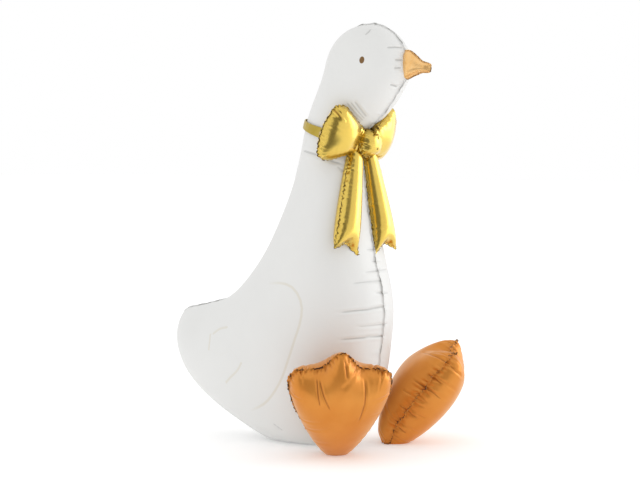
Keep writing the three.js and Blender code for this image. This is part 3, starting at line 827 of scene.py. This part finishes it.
def bow_part(mesh, place, fine, coarse, waver=0.001):
    """Puckers and seals a pad of the bow with fine and coarse creases, and puts it in its place."""
    seam = Seam(mesh)
    creases = [np.vstack([puckers(chance, seam.length, *fine), puckers(chance, seam.length, *coarse)])
               for _ in range(2)]
    crumple(mesh, seam, creases[0], creases[1], waver, edge=0.009, scallop=BOW_SCALLOP)
    seal(mesh, seam, BOW_SEAL, SEAL_THICKNESS)
    mesh.transform(place)
    bow_parts.append(mesh)


half = KNOT_SIZE / 2
bow_part(pad([(0.52 * half, -0.92 * half), (0.94 * half, -0.5 * half), (1.03 * half, 0),
              (0.9 * half, 0.5 * half), (0.52 * half, 0.86 * half)],
             lambda across: 0.12 * half * (1 - (across / half) ** 2), 1.3, 8, 8),
         Matrix.Translation(bow_centre), (0.012, 0.022, 0.0048, 0.0022), (0.03, 0.03, 0.003, 0.003))
for side in (-1, 1):
    inner, outer = LOOP_INNER_HEIGHT / 2, LOOP_HEIGHT / 2
    mesh = pad([(0.8 * inner, 0.1 * LOOP_LENGTH), (inner, 0.2 * LOOP_LENGTH),
                (0.7 * outer, 0.44 * LOOP_LENGTH), (0.94 * outer, 0.64 * LOOP_LENGTH),
                (outer, 0.77 * LOOP_LENGTH), (0.88 * outer, 0.88 * LOOP_LENGTH)],
               lambda across: 0.12 * LOOP_LENGTH * (1 - (across / outer) ** 2), 0.78, 12, 12)
    points = places(mesh)
    full = np.clip((points[:, 2] - 0.1 * LOOP_LENGTH) / (LOOP_PINCH_REACH - 0.1 * LOOP_LENGTH), 0, 1)
    points[:, 1] *= LOOP_PINCH + (1 - LOOP_PINCH) * full**2 * (3 - 2 * full)
    put(mesh, points)
    sweep = LOOP_SWEEP[side]
    along = (side * math.cos(sweep) * math.cos(LOOP_RAISE), math.sin(sweep) * math.cos(LOOP_RAISE),
             math.sin(LOOP_RAISE))
    face = (-side * math.sin(sweep), math.cos(sweep), math.tan(LOOP_PITCH))
    bow_part(mesh, along_frame(bow_centre + Vector(LOOP_PUSHED[side]), along, face),
             (0.015, 0.022, 0.0044, 0.0024), (0.04, 0.055, 0.0044, 0.0036), waver=0.0018)
for side in (-1, 1):
    top, end = TAIL_TOP_WIDTH / 2, TAIL_END_WIDTH / 2
    mesh = pad([(0.8 * top, -TAIL_ROOT), (top, 0), (0.42 * end + 0.58 * top, 0.45 * TAIL_LENGTH),
                (0.85 * end, 0.82 * TAIL_LENGTH), (end, 0.99 * TAIL_LENGTH)],
               lambda across: -TAIL_NOTCH * (1 - np.minimum(1, (np.abs(across) / (0.75 * end)) ** 1.4)),
               0.95, 18, 8)
    along = (side * math.sin(TAIL_SPLAY[side]), -math.sin(TAIL_SLOPE[side]), -math.cos(TAIL_SPLAY[side]))
    face = (math.sin(TAIL_TURN), math.cos(TAIL_TURN), 0)
    start = bow_centre + Vector((side * TAIL_APART / 2, 0.28 * KNOT_SIZE, -0.34 * KNOT_SIZE))
    bow_part(mesh, along_frame(start, along, face),
             (0.018, 0.014, 0.0022, 0.002), (0.05, 0.03, 0.0028, 0.003), waver=0.0014)

bm = bmesh.new()
for mesh in bow_parts:
    bm.from_mesh(mesh)
bow_mesh = bpy.data.meshes.new("bow")
bm.to_mesh(bow_mesh)
bm.free()
clear_of(bow_mesh, body_surface)
finish(bow_mesh, "goose_bow", gold_foil, "bow", slot="gold_foil")


# Neck band. A flat strip of the same gold foil that runs round the neck and holds the bow.
band = bpy.data.objects[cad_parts["neck_band"].name]
band.data.materials.clear()

# Metallised foil like the bow's, with a softer shine; its gold is painted darker than the bow's, as painted
# shade on the strip.
shaded_band_gold, tree = blank("gold foil of the strip, painted darker as shade")
where = add(tree, "ShaderNodeTexCoord").outputs["Object"]
tone = add(tree, "ShaderNodeTexNoise", {"Vector": where, "Scale": 30.0, "Detail": 3.0})
# Painted shade: a darker gold than the bow's.
gold = add(tree, "ShaderNodeMix", {0: tone.outputs["Fac"], 6: linear("#a68c34"), 7: linear("#c9b35a")},
           data_type="RGBA")
shader = add(tree, "ShaderNodeBsdfPrincipled", {"Base Color": gold.outputs[2], "Metallic": 1.0,
                                                "Roughness": 0.34})
add(tree, "ShaderNodeOutputMaterial", {"Surface": shader.outputs[0]})
band.data.materials.append(shaded_band_gold)


# Floor, light and camera. A white studio floor in evenly white surroundings, with one soft box at
# the camera's right. A second, broad light there and a grey card on the camera's side are seen
# only in shiny surfaces, and give the gold its light and dark bands.
FLOOR_HALF = 30
bm = bmesh.new()
bmesh.ops.create_grid(bm, x_segments=8, y_segments=8, size=FLOOR_HALF)
floor_mesh = bpy.data.meshes.new("floor")
bm.to_mesh(floor_mesh)
bm.free()
floor = bpy.data.objects.new("floor", floor_mesh)
scene.collection.objects.link(floor)

# White paper of the studio floor, matt, with a little light of its own so that it comes out white.
paper, tree = blank("white studio paper")
shader = add(tree, "ShaderNodeBsdfPrincipled", {"Base Color": linear("#f6f6f6"), "Roughness": 0.9,
                                                "Emission Color": (1, 1, 1, 1), "Emission Strength": 0.2})
add(tree, "ShaderNodeOutputMaterial", {"Surface": shader.outputs[0]})
floor_mesh.materials.append(paper)

world = bpy.data.worlds.new("studio")
world.use_nodes = True
scene.world = world
tree = world.node_tree
tree.nodes.clear()
add(tree, "ShaderNodeOutputWorld", {
    "Surface": add(tree, "ShaderNodeBackground", {"Color": (1, 1, 1, 1), "Strength": 1.0}).outputs[0]})

# The grey card: a strip on the floor from near to far, and an upright sheet at its far end.
CARD_WIDTH, CARD_HEIGHT, CARD_NEAR, CARD_FAR = 2.5, 3.0, 0.9, 2.6
CARD_TURN = -57
ABOVE_FLOOR = 0.002
to_camera = Matrix.Rotation(math.radians(CARD_TURN), 4, "Z")
bm = bmesh.new()
bmesh.ops.create_grid(bm, x_segments=1, y_segments=1, size=0.5,
                      matrix=to_camera @ Matrix.Translation((0, -(CARD_NEAR + CARD_FAR) / 2, ABOVE_FLOOR))
                      @ Matrix.Diagonal((CARD_WIDTH, CARD_FAR - CARD_NEAR, 1, 1)))
bmesh.ops.create_grid(bm, x_segments=1, y_segments=1, size=0.5,
                      matrix=to_camera @ Matrix.Translation((0, -CARD_FAR, CARD_HEIGHT / 2))
                      @ Matrix.Rotation(math.pi / 2, 4, "X")
                      @ Matrix.Diagonal((CARD_WIDTH, CARD_HEIGHT, 1, 1)))
card_mesh = bpy.data.meshes.new("dark card")
bm.to_mesh(card_mesh)
bm.free()
card = bpy.data.objects.new("dark_card", card_mesh)
scene.collection.objects.link(card)

# Matt grey card, dark next to the white surroundings.
grey, tree = blank("grey studio card")
shader = add(tree, "ShaderNodeBsdfPrincipled", {"Base Color": linear("#7c7c7c"), "Roughness": 0.9})
add(tree, "ShaderNodeOutputMaterial", {"Surface": shader.outputs[0]})
card_mesh.materials.append(grey)
card.visible_camera = card.visible_diffuse = card.visible_shadow = False


def softbox(name, place, size, power):
    """A rectangular soft light, turned to the middle of the goose."""
    light = bpy.data.lights.new(name, "AREA")
    light.shape = "RECTANGLE"
    light.size, light.size_y = size
    light.energy = power
    lamp = bpy.data.objects.new(name, light)
    lamp.location = place
    lamp.rotation_euler = (Vector(LIT) - Vector(place)).to_track_quat("-Z", "Y").to_euler()
    lamp.visible_camera = False
    scene.collection.objects.link(lamp)
    return lamp


LIT = (0, -0.1, 0.5)
softbox("right", place=(2.4, -2.7, 1.5), size=(1.1, 1.7), power=15)
shine = softbox("shine", place=(2.0, -1.65, 0.9), size=(2.8, 2.2), power=24)
shine.visible_diffuse = False

# The camera, as worked out from the photograph. It is shifted by pixels of a picture 640 wide.
TARGET = Vector((middle, -0.02, 0.575))
AZIMUTH, ELEVATION, DISTANCE = math.radians(-53), math.radians(3), 5.0
LENS, SENSOR = 100.5, 36
SHIFT, PICTURE_WIDTH = (14, -3.5), 640
lens = bpy.data.cameras.new("camera")
lens.lens = LENS
lens.sensor_width = SENSOR
lens.shift_x, lens.shift_y = SHIFT[0] / PICTURE_WIDTH, SHIFT[1] / PICTURE_WIDTH
camera = bpy.data.objects.new("camera", lens)
camera.location = TARGET + DISTANCE * Vector((
    math.sin(AZIMUTH) * math.cos(ELEVATION), -math.cos(AZIMUTH) * math.cos(ELEVATION), math.sin(ELEVATION)))
camera.rotation_euler = (TARGET - camera.location).to_track_quat("-Z", "Y").to_euler()
scene.collection.objects.link(camera)
scene.camera = camera
scene.view_settings.view_transform = "Standard"
